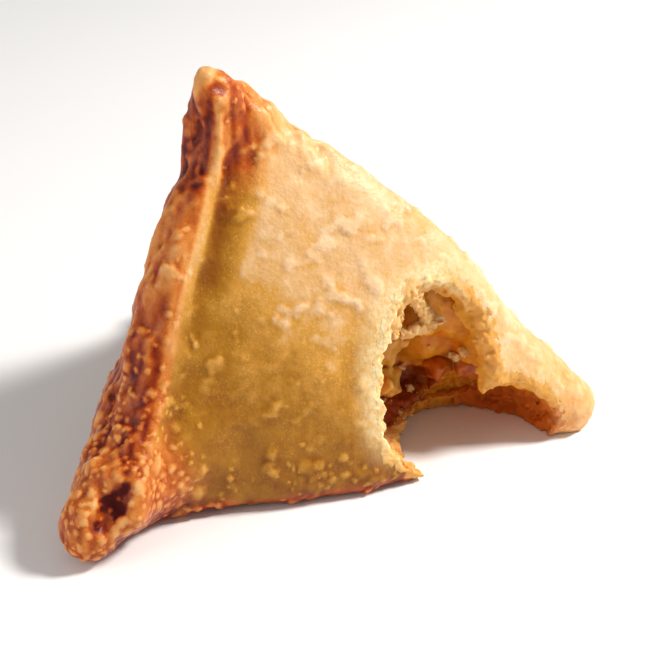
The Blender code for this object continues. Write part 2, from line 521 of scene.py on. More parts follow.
def paint(red: float, green: float, blue: float) -> tuple:
    """A colour as seen on a screen, from 0 to 255, as the linear values that shaders take."""
    def linear(value: float) -> float:
        """One channel."""
        value /= 255
        return value / 12.92 if value <= 0.04045 else ((value + 0.055) / 1.055) ** 2.4
    return (linear(red), linear(green), linear(blue), 1.0)


class ShaderGraph(Graph):
    """A material's tree with one Principled shader."""

    def __init__(self, name: str) -> None:
        """Makes the material, with its shader and its Object coordinates in millimetres."""
        self.material = bpy.data.materials.new(name)
        self.material.use_nodes = True
        super().__init__(self.material.node_tree)
        self.tree.nodes.clear()
        self.shader = self.node("ShaderNodeBsdfPrincipled")
        output = self.node("ShaderNodeOutputMaterial")
        self.tree.links.new(self.shader.outputs[0], output.inputs["Surface"])
        coordinates = self.wire("ShaderNodeTexCoord", output="Object")
        self.place = self.vector("SCALE", coordinates, 1 / MM)

    def attribute(self, name: str) -> Wire:
        """A value kept on the mesh's points."""
        return self.wire("ShaderNodeAttribute", {"attribute_name": name}, output="Fac")

    def noise(self, size: float, detail: float = 2.0, rough: float = 0.5) -> Wire:
        """Noise from 0 to 1 whose lumps are about size millimetres."""
        return self.wire("ShaderNodeTexNoise", None, {"Vector": self.place, "Scale": 1 / size,
                                                      "Detail": detail, "Roughness": rough})

    def cells(self, size: float) -> Wire:
        """Distance to the middle of the nearest of many random cells."""
        return self.wire("ShaderNodeTexVoronoi", None, {"Vector": self.place, "Scale": 1 / size})

    def relief(self, layers: Sequence) -> Wire:
        """Bump from layers of (height wire, depth in millimetres), one above the other."""
        normal = None
        for height, depth in layers:
            inputs = {"Height": height, "Distance": depth * MM, "Strength": 1.0}
            if normal is not None:
                inputs["Normal"] = normal
            normal = self.wire("ShaderNodeBump", None, inputs)
        return normal

    def lit_through(self, weight: float, radius: tuple, scale: float, shine: float) -> None:
        """Lets light a little way in.

        Args:
            weight: The share of the light that goes in.
            radius: How far red, green and blue go, as shares of the scale.
            scale: That distance, in millimetres.
            shine: How strongly the surface mirrors.
        """
        self.feed("Subsurface Weight", weight)
        self.feed("Subsurface Radius", radius)
        self.feed("Subsurface Scale", scale * MM)
        self.feed("Specular IOR Level", shine)

    def feed(self, socket: str, value: object) -> None:
        """Sets or links one socket of the shader."""
        if isinstance(value, Wire):
            self.tree.links.new(value.socket, self.shader.inputs[socket])
        else:
            self.shader.inputs[socket].default_value = value


# ---- Finishes ----

@dataclass(frozen=True)
class FriedDough:
    """Golden dough that darkens with its browning and with painted shade, redder where it is crisp than on
    the belly.
    """

    belly: tuple = (
        (0.0, (238, 199, 154)), (0.24, (212, 152, 64)), (0.46, (172, 115, 27)), (0.7, (142, 80, 12)),
        (1.0, (94, 38, 5)))
    crisp: tuple = (
        (0.0, (236, 196, 144)), (0.24, (228, 164, 96)), (0.42, (212, 126, 52)), (0.6, (178, 80, 22)),
        (0.8, (130, 38, 6)), (1.0, (76, 6, 1)))
    glint: tuple = (240, 202, 124)
    crumb: tuple = (246, 222, 174)
    # A deeper tan: random browner patches on the crumb, and painted shade in its hollows.
    toast_and_hollow_shade: tuple = (232, 184, 104)
    soaked: tuple = (218, 148, 46)
    # Brown of oil-soaked dough low in the bite, partly painted shade.
    steeped_and_shaded: tuple = (196, 98, 18)
    glow: tuple = (1.0, 0.45, 0.15)
    glow_depth: float = 1.5
    shine: float = 0.22

    def material(self) -> bpy.types.Material:
        """Builds the finish."""
        graph = ShaderGraph("fried_dough")
        browning_and_shade = graph.attribute("browning_and_shade")
        blister = graph.attribute("blister")
        hollow = graph.attribute("hollow")
        mottle = graph.noise(2.6, 3, 0.6)
        # The hollow term is painted shade: the colour darkens in creases and between blisters.
        share = (browning_and_shade + (graph.noise(14, 3, 0.55) - 0.5) * 0.24 + (mottle - 0.5) * 0.26
                 + (graph.noise(0.8, 2, 0.6) - 0.5) * 0.12 - blister * (browning_and_shade * 0.28 - 0.02)
                 - graph.attribute("bulge") * 0.1 + hollow * (browning_and_shade * 0.25 + 0.03))
        colour = graph.mix(graph.attribute("crisp"), self.shades(graph, share, self.belly),
                           self.shades(graph, share, self.crisp))
        # Painted highlight: pale glint specks in the base colour, mostly where the dough is pale.
        glints = graph.noise(0.36, 1, 0.5).rise(0.56, 0.7) * graph.noise(5, 2).rise(0.35, 0.6)
        colour = graph.mix(glints * (0.45 - browning_and_shade * 0.6).most(0.0), colour, paint(*self.glint))
        colour = graph.mix(graph.attribute("torn"), colour, self.crumb_colour(graph))
        colour = graph.mix(graph.attribute("soaked"), colour, self.wet_colour(graph))
        graph.feed("Base Color", colour)
        graph.feed("Roughness", 0.36 + (mottle - 0.5) * 0.3 + graph.attribute("torn") * 0.25
                   + browning_and_shade.rise(0.75, 1.05) * 0.4)
        graph.feed("Normal", graph.relief((
            (graph.noise(2.8, 3, 0.6), 0.24),
            (graph.cells(0.9), 0.06),
            (graph.noise(0.4, 2, 0.6), 0.07),
        )))
        graph.lit_through(0.15, self.glow, self.glow_depth, self.shine)
        return graph.material

    @staticmethod
    def shades(graph: ShaderGraph, share: Wire, stops: Sequence) -> Wire:
        """A ramp through colours as seen on a screen."""
        return graph.ramp(share, tuple((place, paint(*colour)) for place, colour in stops))

    def crumb_colour(self, graph: ShaderGraph) -> Wire:
        """The pale inside of the dough where it is torn."""
        return graph.mix(graph.noise(1.3, 3, 0.7).rise(0.35, 0.75), paint(*self.crumb),
                         paint(*self.toast_and_hollow_shade))

    def wet_colour(self, graph: ShaderGraph) -> Wire:
        """Dough that oil with its spices has soaked: orange, and brown low in the bite, which is partly
        painted shade.
        """
        low = graph.attribute("steeped_and_shaded") + (graph.noise(2.2, 3, 0.6) - 0.5) * 0.5
        return graph.mix(low.rise(0.2, 0.8), paint(*self.soaked), paint(*self.steeped_and_shaded))

    def torn_material(self) -> bpy.types.Material:
        """Builds the finish of the crumbly edge round the bite."""
        graph = ShaderGraph("torn_dough")
        hollow = graph.attribute("hollow")
        # Painted shade: the crumb turns a deeper tan in hollows.
        colour = graph.mix(hollow.rise(-0.2, 0.8) * 0.7, self.crumb_colour(graph), paint(*self.toast_and_hollow_shade))
        colour = graph.mix(graph.attribute("soaked"), colour, self.wet_colour(graph))
        graph.feed("Base Color", colour)
        graph.feed("Roughness", 0.7 + (graph.noise(0.8) - 0.5) * 0.2)
        graph.feed("Normal", graph.relief(((graph.noise(0.35, 2, 0.6), 0.08),)))
        graph.lit_through(0.5, self.glow, self.glow_depth, self.shine)
        return graph.material


@dataclass(frozen=True)
class MashedPotato:
    """Moist potato coloured with turmeric, with painted shade: darker low in the bite and in its pits, and
    deeper in hollows.
    """

    light: tuple = (226, 150, 30)
    deep: tuple = (204, 108, 8)
    dark: tuple = (156, 63, 7)

    def material(self) -> bpy.types.Material:
        """Builds the finish."""
        graph = ShaderGraph("mashed_potato")
        grain = graph.noise(0.9, 3, 0.6)
        share = graph.noise(7, 3, 0.55).rise(0.35, 0.65) * 0.6 + (grain - 0.5) * 0.3
        # Painted shade: deeper colour in hollows.
        share = share + graph.attribute("hollow") * 0.4
        colour = graph.mix(share, paint(*self.light), paint(*self.deep))
        # Painted shade: the potato darkens low in the bite and in its pits.
        shade_low_and_in_pits = graph.attribute("shade_low_and_in_pits") + (graph.noise(2.0, 2, 0.6) - 0.5) * 0.5
        colour = graph.mix(shade_low_and_in_pits.rise(0.25, 0.75), colour, paint(*self.dark))
        graph.feed("Base Color", colour)
        graph.feed("Roughness", 0.4 + (grain - 0.5) * 0.3)
        graph.feed("Normal", graph.relief((
            (graph.noise(2.2, 3, 0.6), 0.25),
            (graph.noise(0.5, 2, 0.6), 0.1),
        )))
        graph.lit_through(0.25, (1.0, 0.5, 0.12), 3.0, 0.3)
        return graph.material


class MorselKind(Enum):
    """The kinds of piece that are mixed into the filling."""

    POTATO = "potato_cubes"
    CARROT = "carrot_pieces"


@dataclass(frozen=True)
class MorselFinish:
    """A smooth, moist, slightly clear piece of vegetable."""

    name: str
    light: tuple
    deep: tuple
    grain: float
    roughness: float

    def material(self) -> bpy.types.Material:
        """Builds the finish."""
        graph = ShaderGraph(self.name)
        # Painted shade: deeper colour in hollows.
        share = graph.noise(self.grain, 3, 0.6).rise(0.3, 0.7) + graph.attribute("hollow") * 0.3
        graph.feed("Base Color", graph.mix(share, paint(*self.light), paint(*self.deep)))
        graph.feed("Roughness", self.roughness + (graph.noise(1.0) - 0.5) * 0.2)
        graph.feed("Normal", graph.relief(((graph.noise(1.2, 3, 0.6), 0.12),)))
        graph.lit_through(0.35, (1.0, 0.4, 0.1), 3.0, 0.3)
        return graph.material


MORSEL_FINISHES = {
    MorselKind.POTATO: MorselFinish("cooked_potato", (222, 172, 78), (200, 132, 36), 2.0, 0.35),
    MorselKind.CARROT: MorselFinish("cooked_carrot", (190, 98, 14), (156, 64, 6), 1.6, 0.35),
}


# ---- Geometry Nodes ----

class Growth(Graph):
    """A Geometry Nodes group with named inputs, built up and then run once on an object."""

    def __init__(self, name: str) -> None:
        """Makes the group with its geometry in and out."""
        super().__init__(bpy.data.node_groups.new(name, "GeometryNodeTree"))
        face = self.tree.interface
        face.new_socket("Geometry", in_out="OUTPUT", socket_type="NodeSocketGeometry")
        face.new_socket("Geometry", in_out="INPUT", socket_type="NodeSocketGeometry")
        self.entry = self.node("NodeGroupInput")
        self.values: dict = {}

    def input(self, name: str, value: float, kind: str = "NodeSocketFloat") -> Wire:
        """Adds a named input with the value that it is run with."""
        socket = self.tree.interface.new_socket(name, in_out="INPUT", socket_type=kind)
        self.values[socket.identifier] = value
        return Wire(self, self.entry.outputs[name])

    @property
    def geometry(self) -> Wire:
        """What comes in."""
        return Wire(self, self.entry.outputs["Geometry"])

    def named(self, name: str) -> Wire:
        """A value kept on the mesh's points."""
        return self.wire("GeometryNodeInputNamedAttribute", {"data_type": "FLOAT"}, {"Name": name})

    def scatter(self, bed: str, spacing: Wire, density: Wire, seed: Wire) -> Wire:
        """Random points on what comes in, thickest where the value with this name is high."""
        return self.wire("GeometryNodeDistributePointsOnFaces", {"distribute_method": "POISSON"},
                         {"Mesh": self.geometry, "Distance Min": spacing, "Density Max": density,
                          "Density Factor": self.named(bed), "Seed": seed}, "Points")

    def finish(self, geometry: Wire, material: bpy.types.Material) -> None:
        """Ends the tree: what was made is realized and takes its material."""
        real = self.wire("GeometryNodeRealizeInstances", None, {"Geometry": geometry})
        dressed = self.wire("GeometryNodeSetMaterial", None, {"Geometry": real, "Material": material})
        self.node("NodeGroupOutput", None, {"Geometry": dressed})

    def run(self, obj: bpy.types.Object) -> bpy.types.Object:
        """Runs the tree on the object and keeps the result as its plain mesh."""
        modifier = obj.modifiers.new(self.tree.name, "NODES")
        modifier.node_group = self.tree
        for identifier, value in self.values.items():
            modifier[identifier] = value
        return flattened(obj)


@dataclass(frozen=True)
class BlisterLayer:
    """One size of blister: how far apart, how wide, tall and steep-sided they are, in millimetres."""

    name: str
    spacing: float
    density: float
    radius: tuple
    height: float
    steepness: float
    seed: int


class Blistering(Growth):
    """Raises layers of round blisters over dough, thickest where its bed attribute is high."""

    def __init__(self, layers: Sequence[BlisterLayer], material: bpy.types.Material) -> None:
        """Builds the tree."""
        super().__init__("blistering")
        normal = self.wire("GeometryNodeInputNormal")
        place = self.wire("GeometryNodeInputPosition")
        warped = self._warped(self._warped(place, 2.4, 1.5), 0.8, 0.5)
        total, most = None, None
        for layer in layers:
            dome, height = self._domes(layer, warped)
            raised = dome * height
            total = raised if total is None else total.most(raised)
            most = dome if most is None else most.most(dome)
        offset = self.vector("SCALE", normal, total)
        kept = self.wire("GeometryNodeStoreNamedAttribute", {"data_type": "FLOAT", "domain": "POINT"},
                         {"Geometry": self.geometry, "Name": "blister", "Value": most})
        moved = self.wire("GeometryNodeSetPosition", None, {"Geometry": kept, "Offset": offset})
        self.finish(moved, material)

    def _warped(self, place: Wire, size: float, reach: float) -> Wire:
        """Places pushed about by noise of this size, by up to about half the reach, in millimetres."""
        push = self.wire("ShaderNodeTexNoise", None, {"Vector": place, "Scale": 1 / (size * MM),
                                                      "Detail": 1.0}, "Color")
        centred = self.vector("SUBTRACT", push, (0.5, 0.5, 0.5))
        return self.vector("ADD", place, self.vector("SCALE", centred, reach * MM))

    def _domes(self, layer: BlisterLayer, place: Wire) -> tuple[Wire, Wire]:
        """The dome, from 0 to 1, of the nearest blister of one layer, and its height in metres."""
        spacing = self.input(f"{layer.name} spacing", layer.spacing * MM)
        density = self.input(f"{layer.name} per square metre", layer.density * 1e6)
        smallest = self.input(f"{layer.name} smallest radius", layer.radius[0] * MM)
        largest = self.input(f"{layer.name} largest radius", layer.radius[1] * MM)
        tall = self.input(f"{layer.name} height in radii", layer.height)
        seed = self.input(f"{layer.name} seed", layer.seed, "NodeSocketInt")
        spots = self.scatter("bed", spacing, density, seed)
        nearest = self.wire("GeometryNodeSampleNearest", {"domain": "POINT"},
                            {"Geometry": spots, "Sample Position": place})
        spot = self.wire("GeometryNodeInputPosition")
        centre = self.wire("GeometryNodeSampleIndex", {"data_type": "FLOAT_VECTOR", "domain": "POINT"},
                           {"Geometry": spots, "Value": spot, "Index": nearest})
        drawn = self.wire("FunctionNodeRandomValue", {"data_type": "FLOAT"},
                          {2: smallest, 3: largest, "ID": nearest, "Seed": seed}, 1)
        share = self.vector("DISTANCE", place, centre) / drawn
        dome = (1 - share * share).most(0.0) ** layer.steepness
        return dome, drawn * tall


# ---- The pieces ----

@dataclass
class Crust:
    """The fried dough, open at the bite."""

    form: PastryForm
    bite: Bite
    cell: float = 0.42
    room: tuple = ((-5, -9, -1.2), (99, 72, 77))
    most_triangles: int = 190000
    lump_height: float = 0.45
    lump_size: float = 12
    wrinkle_height: float = 0.7
    wrinkle_size: float = 3.4
    wrinkle_stretch: tuple = (1, 1, 0.35)
    bulge_height: float = 0.36
    bulge_size: float = 3.4
    edge_back: float = 0.5
    groove_offset: tuple = (-1.9, 2.4, -1.0)
    groove_rounds: int = 4
    slope_step: float = 0.2
    seam_fill: float = 1.3
    crater: tuple = (32.2, 14.8, 70.6)
    crater_depth: float = 0.9
    pit_raggedness: float = 0.5
    pit_size: float = 2.2
    pit_blend: float = 0.8
    layers: tuple = (
        BlisterLayer("large", 3.6, 0.02, (1.2, 2.2), 0.17, 1.7, 3),
        BlisterLayer("middling", 1.8, 0.12, (0.7, 1.3), 0.19, 1.4, 5),
        BlisterLayer("small", 0.95, 0.5, (0.4, 0.75), 0.24, 1.0, 9),
    )
    noise: Noise = field(default_factory=lambda: Noise(SEED + 4))
    finish: FriedDough = field(default_factory=FriedDough)

    def skin(self, where: Array) -> Array:
        """Distance to the outside of the dough, gently lumpy and wrinkled."""
        outside = self.form.outside(where)
        near = np.abs(outside) < 3
        at = where[near]
        lumps = self.lump_height * self.noise.at(at + 50, self.lump_size, 2)
        stretched = at * np.array(self.wrinkle_stretch, np.float32)
        beyond_seam = rise(1, -4, at[:, 0] - self.seam_line(at))
        wrinkled = 0.12 + 0.88 * np.maximum(beyond_seam, rise(50, 60, at[:, 2]))
        lumps += self.wrinkle_height * wrinkled * self.noise.at(stretched, self.wrinkle_size, 2)
        lumps += self.bulge_height * self.bulges(at)
        filled = rise(12, 20, at[:, 2]) * rise(62, 52, at[:, 2])
        lumps += self.seam_fill * filled * rise(6.0, 1.5, chain_distance(at, self.groove))
        lumps -= self.crater_depth * rise(2.2, 0.4, point_distance(at, self.crater))
        pit = chain_distance(at, self.form.foot_hollow)
        pit += self.pit_raggedness * self.noise.at(at, self.pit_size, 2)
        outside[near] = smooth_max(outside[near] - lumps, -pit, self.pit_blend)
        return np.maximum(outside, -where[:, 2])

    def patches(self, where: Array) -> Array:
        """Patches of rougher dough, from 0 to 1."""
        return rise(-0.3, 0.4, self.noise.at(where + 90, 11, 2))

    def bulges(self, where: Array) -> Array:
        """Soft swellings of the dough without a clear outline, from 0 to 1."""
        swelling = rise(0.12, 0.75, self.noise.at(where + 20, self.bulge_size, 2))
        return swelling * (0.25 + 0.75 * self.patches(where))

    def crisp(self, where: Array) -> Array:
        """Where the dough is thin and crisp rather than plump, from 0 to 1."""
        rough = 1.2 * self.noise.at(where, 5, 2)
        thin = rise(0.8, -0.4, where[:, 0] - self.seam_line(where) + 0.3 * rough)
        thin = np.maximum(thin, rise(50, 59, where[:, 2] + 2 * rough))
        thin = np.maximum(thin, rise(3.6, 1.2, where[:, 2] + rough))
        for chain in self.form.tips:
            thin = np.maximum(thin, rise(9, 2, chain_distance(where, chain) + rough))
        return thin

    def distance(self, where: Array) -> Array:
        """Distance to the dough with the bite and the space behind it cut away."""
        outside = self.skin(where)
        close = self.bite.around(where) < 6
        at = where[close]
        space = self.bite.torn(at) - self.edge_back
        hollow = smooth_max(self.form.inside(at, self.form.wall), self.bite.around(at), 1.0)
        outside[close] = np.maximum(outside[close], np.maximum(-space, -hollow))
        return outside

    @cached_property
    def groove(self) -> Array:
        """The crease behind the seam, as a chain of (x, y, z, radius) that lies on the dough."""
        line = smooth_line(self.form.seam[1:]) + np.asarray(self.groove_offset, np.float32)
        for _ in range(self.groove_rounds):
            here = self.form.outside(line)
            slope = np.stack([self.form.outside(line + self.slope_step * axis) - here
                              for axis in np.eye(3, dtype=np.float32)], 1) / self.slope_step
            line = line - slope * (here / np.einsum("ij,ij->i", slope, slope))[:, None]
        return np.column_stack([line, np.zeros(len(line))]).astype(np.float32)

    def browning_and_shade(self, where: Array) -> Array:
        """How brown the dough is, from 0 to 1, with painted shade in its valleys, pits, low parts and on
        the side away from the key light: the darkest that any of its parts makes it.
        """
        rough = self.noise.at(where, 3.2, 3)
        across = where[:, 0] - self.seam_line(where)
        brown = np.maximum.reduce([
            self._browning_and_shade_on_sides(where, across, rough), self._browning_and_shade_on_folds(where, across, rough),
            self._baked_tips(where), self._browning_and_shade_at_base(where, rough), self._shade_in_pit_and_crater(where, rough)])
        return brown + 0.07 * self.noise.at(where, 6, 2)

    def _browning_and_shade_on_sides(self, where: Array, across: Array, rough: Array) -> Array:
        """Browner low on the belly and beside the seam, and brownest beyond the seam. The belly's fall-off
        away from the key light, its darkening near the base and the band beside the seam are painted shade
        over real browning.
        """
        height = where[:, 2]
        # Painted shade: the belly darkens away from the key light, which stands high on the right.
        light = where @ np.asarray((0.5, -0.1, 0.86), np.float32)
        belly = 0.1 + 0.39 * rise(62, 28, light) + 0.1 * rise(18, 6, height) * rise(66, 54, where[:, 0])
        # Painted shade: a darker band in the valley beside the seam's crest.
        beside = rise(0.5, 3.0, across) * rise(13, 3.5, across) * (where[:, 1] < 20)
        beside = (0.45 + 0.22 * rise(32, 48, height)) * beside
        beyond = rise(-0.2, -2.2, across) * rise(72, 66, height)
        beyond *= 0.52 + 0.2 * rise(45, 26, height) - 0.3 * rise(20, 10, height) + 0.14 * rough
        return np.maximum.reduce([belly, beside, beyond])

    def _browning_and_shade_on_folds(self, where: Array, across: Array, rough: Array) -> Array:
        """Browner along the seam's crest and the creases, darker in the wedge beside the peak, and painted
        shade in the groove behind the seam.
        """
        form, height = self.form, where[:, 2]
        crest = 0.24 + 0.42 * rise(-0.1, -1.2, across) + 0.06 * rise(40, 20, height)
        crest += (0.2 + 0.2 * rough) * rise(56, 62, height)
        brown = crest * rise(3.8, 1.6, roll_distance(where, form.seam, 0.0))
        for crease in (form.back_crease, form.right_crease):
            brown = np.maximum(brown, 0.4 * rise(4, 0.5, roll_distance(where, crease, 0.8)))
        # Painted shade: darker in the groove behind the seam.
        valley = chain_distance(where, self.groove) + 0.9 * rough
        brown = np.maximum(brown, (0.56 + 0.2 * rise(44, 26, height)) * rise(2.6, 0.4, valley))
        wedge = rise(-0.2, -1.6, across) * rise(49, 55, height + rough) * rise(71, 68, height)
        return np.maximum(brown, (0.8 + 0.1 * rough) * wedge)

    def _baked_tips(self, where: Array) -> Array:
        """Browner towards the ends of the feet and the peak."""
        tips = zip((*self.form.tips, self.form.peak_tip[1:]), (8, 8, 9, 8), (0.42, 0.2, 0.56, 0.42))
        return np.maximum.reduce([deep * rise(reach, 0, chain_distance(where, chain))
                                  for chain, reach, deep in tips])

    def _browning_and_shade_at_base(self, where: Array, rough: Array) -> Array:
        """Browner near the base, partly as painted shade where the dough nears the floor, but less so under
        the right foot.
        """
        height = where[:, 2]
        base = np.maximum(0.7 * rise(12, 3, height + 2 * rough), 0.76 * rise(4.6, 1.6, height + rough))
        return base * (1 - 0.65 * rise(66, 90, where[:, 0]))

    def _shade_in_pit_and_crater(self, where: Array, rough: Array) -> Array:
        """Painted shade: darkest in the pit of the left foot and the crater on the peak."""
        crater = point_distance(where, self.crater) + 0.6 * rough
        pit = chain_distance(where, self.form.foot_hollow) + 0.5 * rough
        return np.maximum(0.66 * rise(2.8, 0.8, crater), 1.15 * rise(1.2, 0.0, pit))

    def seam_line(self, where: Array) -> Array:
        """X of the seam at each point's height."""
        line = smooth_line(self.form.seam)[::-1]
        return np.interp(where[:, 2], line[:, 2], line[:, 0])

    def bed(self, where: Array) -> Array:
        """How thickly blistered the dough is, from 0 to 1."""
        form = self.form
        patches = self.patches(where)
        thick = 0.01 + 0.1 * patches**2
        beyond_seam = rise(2, -6, where[:, 0] - self.seam_line(where))
        thick = np.maximum(thick, (0.25 + 0.25 * rise(34, 18, where[:, 2])) * beyond_seam)
        for chain, most in zip((*form.tips, form.peak_tip[1:]), (1.0, 0.8, 0.9, 0.2)):
            thick = np.maximum(thick, most * rise(12, 2, chain_distance(where, chain)))
        thick = np.maximum(thick, 0.7 * rise(13, 3, where[:, 2]) * (0.2 + 0.8 * patches))
        seam = rise(7, 2, roll_distance(where, form.seam, 0.0))
        thick = np.maximum(thick, 0.4 * seam * rise(46, 30, where[:, 2]))
        thick *= rise(1.0, 3.5, chain_distance(where, form.peak_hollow))
        thick *= rise(0.0, 1.2, chain_distance(where, form.foot_hollow))
        return thick * rise(0.2, 1.5, self.bite.clean(where)) * rise(0.3, 1.0, where[:, 2])

    def build(self) -> bpy.types.Object:
        """Builds and dresses the crust."""
        skin = Sampler(*self.room, self.cell).skin(self.distance)
        LOG.info("crust skin: %d faces", len(skin.faces))
        mesh = skin.mesh("crust_skin")
        where = points_of(mesh)
        depth = -self.form.outside(where)
        space = self.bite.clean(where)
        store(mesh, "bed", self.bed(where))
        raggedness = 0.6 * self.noise.at(where, 2.2, 2)
        pale = rise(3.0, 14.0, where[:, 2]) * (0.25 + 0.6 * rise(72, 66, where[:, 0]))
        store(mesh, "torn", rise(6.0, 1.0, space + raggedness) * pale)
        store(mesh, "soaked", soaked(where, depth) * rise(0.2, 0.9, depth) * rise(4.5, 3.5, space))
        store(mesh, "steeped_and_shaded", steeped_and_shaded(where))
        # Browning, with painted shade in valleys, pits, low down and away from the key light.
        store(mesh, "browning_and_shade", self.browning_and_shade(where))
        store(mesh, "crisp", self.crisp(where))
        store(mesh, "bulge", self.bulges(where) * rise(4, 16, where[:, 2]))
        crust = new_object("fried_crust", mesh)
        Blistering(self.layers, self.finish.material()).run(crust)
        thinner = crust.modifiers.new("thinner", "DECIMATE")
        thinner.ratio = min(1.0, self.most_triangles / (2 * len(skin.faces)))
        flattened(crust)
        store(crust.data, "hollow", hollows(crust.data))
        crust.data.shade_smooth()
        return crust


def steeped_and_shaded(where: Array) -> Array:
    """How brown the soaked dough is, partly as painted shade: most near the base and towards the right
    foot.
    """
    return rise(12, 3, where[:, 2]) * (0.3 + 0.7 * rise(70, 84, where[:, 0]))


def soaked(where: Array, depth: Array) -> Array:
    """How far oil with its spices has soaked into the dough: most deep inside and low in the bite.

    Args:
        where: Points, in millimetres.
        depth: How far each lies below the outside of the dough.

    Returns:
        One value for each point, from 0 to 1.
    """
    deep = rise(0.4, 2.0, depth) * (0.5 + 0.5 * rise(63, 69, where[:, 0]))
    deep = np.maximum(deep, 0.8 * rise(66, 73, where[:, 0]))
    deep = np.maximum(deep, 0.75 * rise(11, 3, where[:, 2]))
    low = rise(9, 2, where[:, 2]) * rise(64, 68, where[:, 0]) * rise(0.1, 0.6, depth)
    under = rise(1.5, 0.3, where[:, 2]) * rise(62, 66, where[:, 0])
    return np.maximum(np.maximum(deep, low), under)


def hollows(mesh: bpy.types.Mesh, rounds: int = 3, scale: float = 12.0) -> Array:
    """How deep in a crease each point lies: above nought in a hollow, below on a ridge."""
    count = len(mesh.vertices)
    edges = np.empty(len(mesh.edges) * 2, np.int32)
    mesh.edges.foreach_get("vertices", edges)
    a, b = edges.reshape(-1, 2).T
    normal = np.empty(count * 3, np.float32)
    mesh.vertices.foreach_get("normal", normal)
    normal = normal.reshape(-1, 3)
    place = points_of(mesh).astype(np.float64)
    links = np.bincount(a, minlength=count) + np.bincount(b, minlength=count)
    smooth = place
    for _ in range(rounds):
        total = np.stack([np.bincount(a, smooth[b, k], count) + np.bincount(b, smooth[a, k], count)
                          for k in range(3)], 1)
        smooth = total / np.maximum(links, 1)[:, None]
    return np.clip(np.einsum("ij,ij->i", smooth - place, normal) * scale, -1, 1)


@dataclass
class TornEdge:
    """The crumbly dough that shows all round the bite, with the strands that bridge its top."""

    crust: Crust
    filling: "Filling"
    cell: float = 0.22
    proud: float = 0.04
    sunk: float = 0.35
    far: float = 2.6
    slant: float = 0.9
    strands: tuple = (
        ((60.8, 2.4, 34.2, 1.5), (62.9, 3.4, 30.5, 1.1), (64.9, 4.2, 27.5, 1.2), (66.1, 4.5, 25.3, 0.9)),
        ((61.0, 4.2, 24.2, 0.9), (63.1, 4.0, 24.8, 1.0), (65.0, 4.2, 24.9, 1.3), (66.9, 4.6, 25.0, 0.9),
         (69.4, 5.4, 25.8, 1.1)),
        ((57.4, 2.2, 32.0, 1.2), (59.6, 3.8, 28.4, 1.0), (58.3, 3.6, 25.6, 1.3)),
    )
    clumps: tuple = (
        (72.1, 4.9, 16.6, 0.8), (73.2, 4.8, 17.3, 0.9), (71.2, 5.3, 16.9, 0.5), (67.1, 6.0, 19.2, 0.4),
        (62.2, 6.0, 16.2, 0.6), (60.6, 5.5, 15.9, 0.8), (64.9, 8.6, 9.2, 0.8), (69.9, 7.6, 12.0, 0.5),
        (60.9, 5.5, 21.3, 0.7), (58.6, 4.6, 22.2, 0.8),
    )
    crumb_lift: float = 0.35
    strand_crumbs: float = 1.6
    strand_blend: float = 1.2
    clump_crumbs: float = 1.4
    clump_blend: float = 0.3
    inward: tuple = (0.352, 0.791, -0.5)
    sink: float = 0.3

    @cached_property
    def settled(self) -> list[tuple[Array, float]]:
        """The clumps, pushed inwards until each one lies on the filling or the dough, and their radii."""
        resting = []
        for *place, radius in self.clumps:
            spot = np.array([place], np.float32)
            for _ in range(20):
                gap = min(self.filling.distance(spot)[0], self.crust.distance(spot)[0])
                spot = spot + np.array(self.inward, np.float32) * max(gap - self.sink * radius, 0)
            resting.append((spot[0], radius))
        return resting

    def distance(self, where: Array) -> Array:
        """Distance to the torn dough."""
        bite, form = self.crust.bite, self.crust.form
        outside = self.crust.skin(where)
        space = bite.torn(where)
        crumbs = bite.crumbs(where)
        leaning = rise(6, 14, where[:, 2]) * (0.3 + 0.7 * np.maximum(
            rise(22, 28, where[:, 2]), rise(64, 68, where[:, 0])))
        cut = -space - self.slant * np.clip(-outside, 0, form.wall) * leaning - crumbs
        sunk = rise(1.0, 2.2, space + 2 * crumbs)
        top = outside - self.proud + sunk * (self.proud + self.sunk) + self.crumb_lift * crumbs
        shell = np.maximum(top, -form.inside(where, form.wall) - 0.3 + crumbs)
        dough = np.maximum(np.maximum(shell, cut), space - self.far)
        for strand in self.strands:
            bridge = chain_distance(where, strand) - self.strand_crumbs * crumbs
            dough = smooth_min(dough, bridge, self.strand_blend)
        for place, radius in self.settled:
            clump = point_distance(where, place) - radius - self.clump_crumbs * crumbs
            dough = smooth_min(dough, clump, self.clump_blend)
        return np.maximum(dough, -where[:, 2])

    def build(self) -> bpy.types.Object:
        """Builds and dresses the torn edge."""
        bite = self.crust.bite
        middle, reach = np.asarray(bite.middle), np.asarray(bite.reach)
        low, high = middle - reach, middle + reach
        low[2] = -1
        skin = Sampler(tuple(low), tuple(high), self.cell).skin(self.distance)
        LOG.info("torn edge: %d faces", len(skin.faces))
        mesh = skin.mesh("torn_dough_edge")
        where = points_of(mesh)
        depth = -self.crust.form.outside(where)
        loose = [chain_distance(where, strand) for strand in self.strands]
        loose += [point_distance(where, place) - radius for place, radius in self.settled]
        wet = soaked(where, depth)
        store(mesh, "soaked", wet + rise(2.0, 0.5, np.minimum.reduce(loose)) * (0.45 - wet))
        store(mesh, "steeped_and_shaded", steeped_and_shaded(where))
        store(mesh, "hollow", hollows(mesh, 4, 8.0))
        mesh.materials.append(self.crust.finish.torn_material())
        return new_object("torn_dough_edge", mesh)


